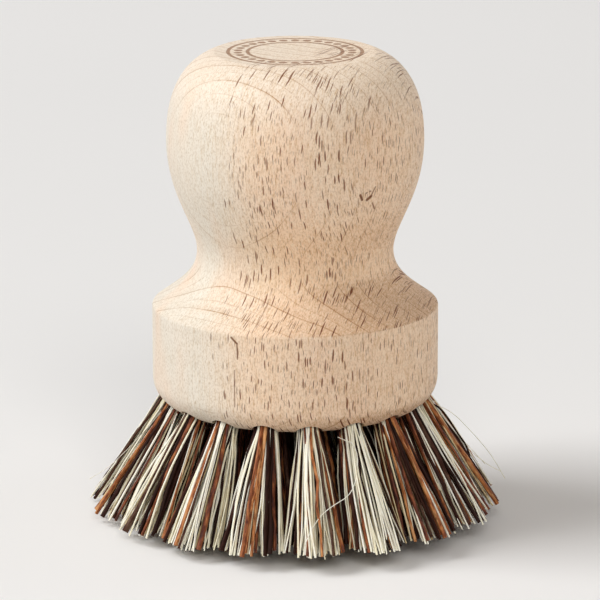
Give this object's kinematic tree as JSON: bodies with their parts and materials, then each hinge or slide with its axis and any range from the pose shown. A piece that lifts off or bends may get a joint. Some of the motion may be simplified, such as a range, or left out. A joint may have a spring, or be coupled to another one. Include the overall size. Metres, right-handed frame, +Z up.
{
  "type": "palm brush",
  "caption": "Turned wooden palm knob with a waist for the fingers and a round foot, whose underside holds stapled bunches of stiff, splayed plant bristles for scrubbing.",
  "frame": {"origin": "middle of the plane that the trimmed bristle tips stand on, on the knob's axis", "axes": "+Z up along the knob's axis, from the bristle tips to the flat crown; the pictured front faces -Y"},
  "size_m": [0.0758, 0.0758, 0.0907],
  "materials": {
    "beech_wood": "unfinished, sanded",
    "staple_steel": "drawn wire",
    "pale_fibre": "matte plant fibre",
    "brown_fibre": "matte plant fibre",
    "dark_fibre": "matte plant fibre"
  },
  "bodies": {
    "root": {"knob": "beech_wood", "foot": "beech_wood", "anchor_staples": "staple_steel", "tuft_outer_01": "pale_fibre", "tuft_outer_02": "pale_fibre", "tuft_outer_03": "brown_fibre", "tuft_outer_04": "dark_fibre", "tuft_outer_05": "dark_fibre", "tuft_outer_06": "pale_fibre", "tuft_outer_07": "brown_fibre", "tuft_outer_08": "dark_fibre", "tuft_outer_09": "brown_fibre", "tuft_outer_10": "pale_fibre", "tuft_outer_11": "dark_fibre", "tuft_outer_12": "brown_fibre", "tuft_outer_13": "dark_fibre", "tuft_outer_14": "dark_fibre", "tuft_outer_15": "brown_fibre", "tuft_outer_16": "pale_fibre", "tuft_outer_17": "pale_fibre", "tuft_outer_18": "brown_fibre", "tuft_middle_01": "dark_fibre", "tuft_middle_02": "brown_fibre", "tuft_middle_03": "pale_fibre", "tuft_middle_04": "dark_fibre", "tuft_middle_05": "brown_fibre", "tuft_middle_06": "pale_fibre", "tuft_middle_07": "dark_fibre", "tuft_middle_08": "brown_fibre", "tuft_middle_09": "pale_fibre", "tuft_middle_10": "dark_fibre", "tuft_middle_11": "brown_fibre", "tuft_middle_12": "pale_fibre", "tuft_inner_01": "brown_fibre", "tuft_inner_02": "pale_fibre", "tuft_inner_03": "dark_fibre", "tuft_inner_04": "brown_fibre", "tuft_inner_05": "pale_fibre", "tuft_inner_06": "dark_fibre", "tuft_centre": "brown_fibre"}
  },
  "joints": []
}
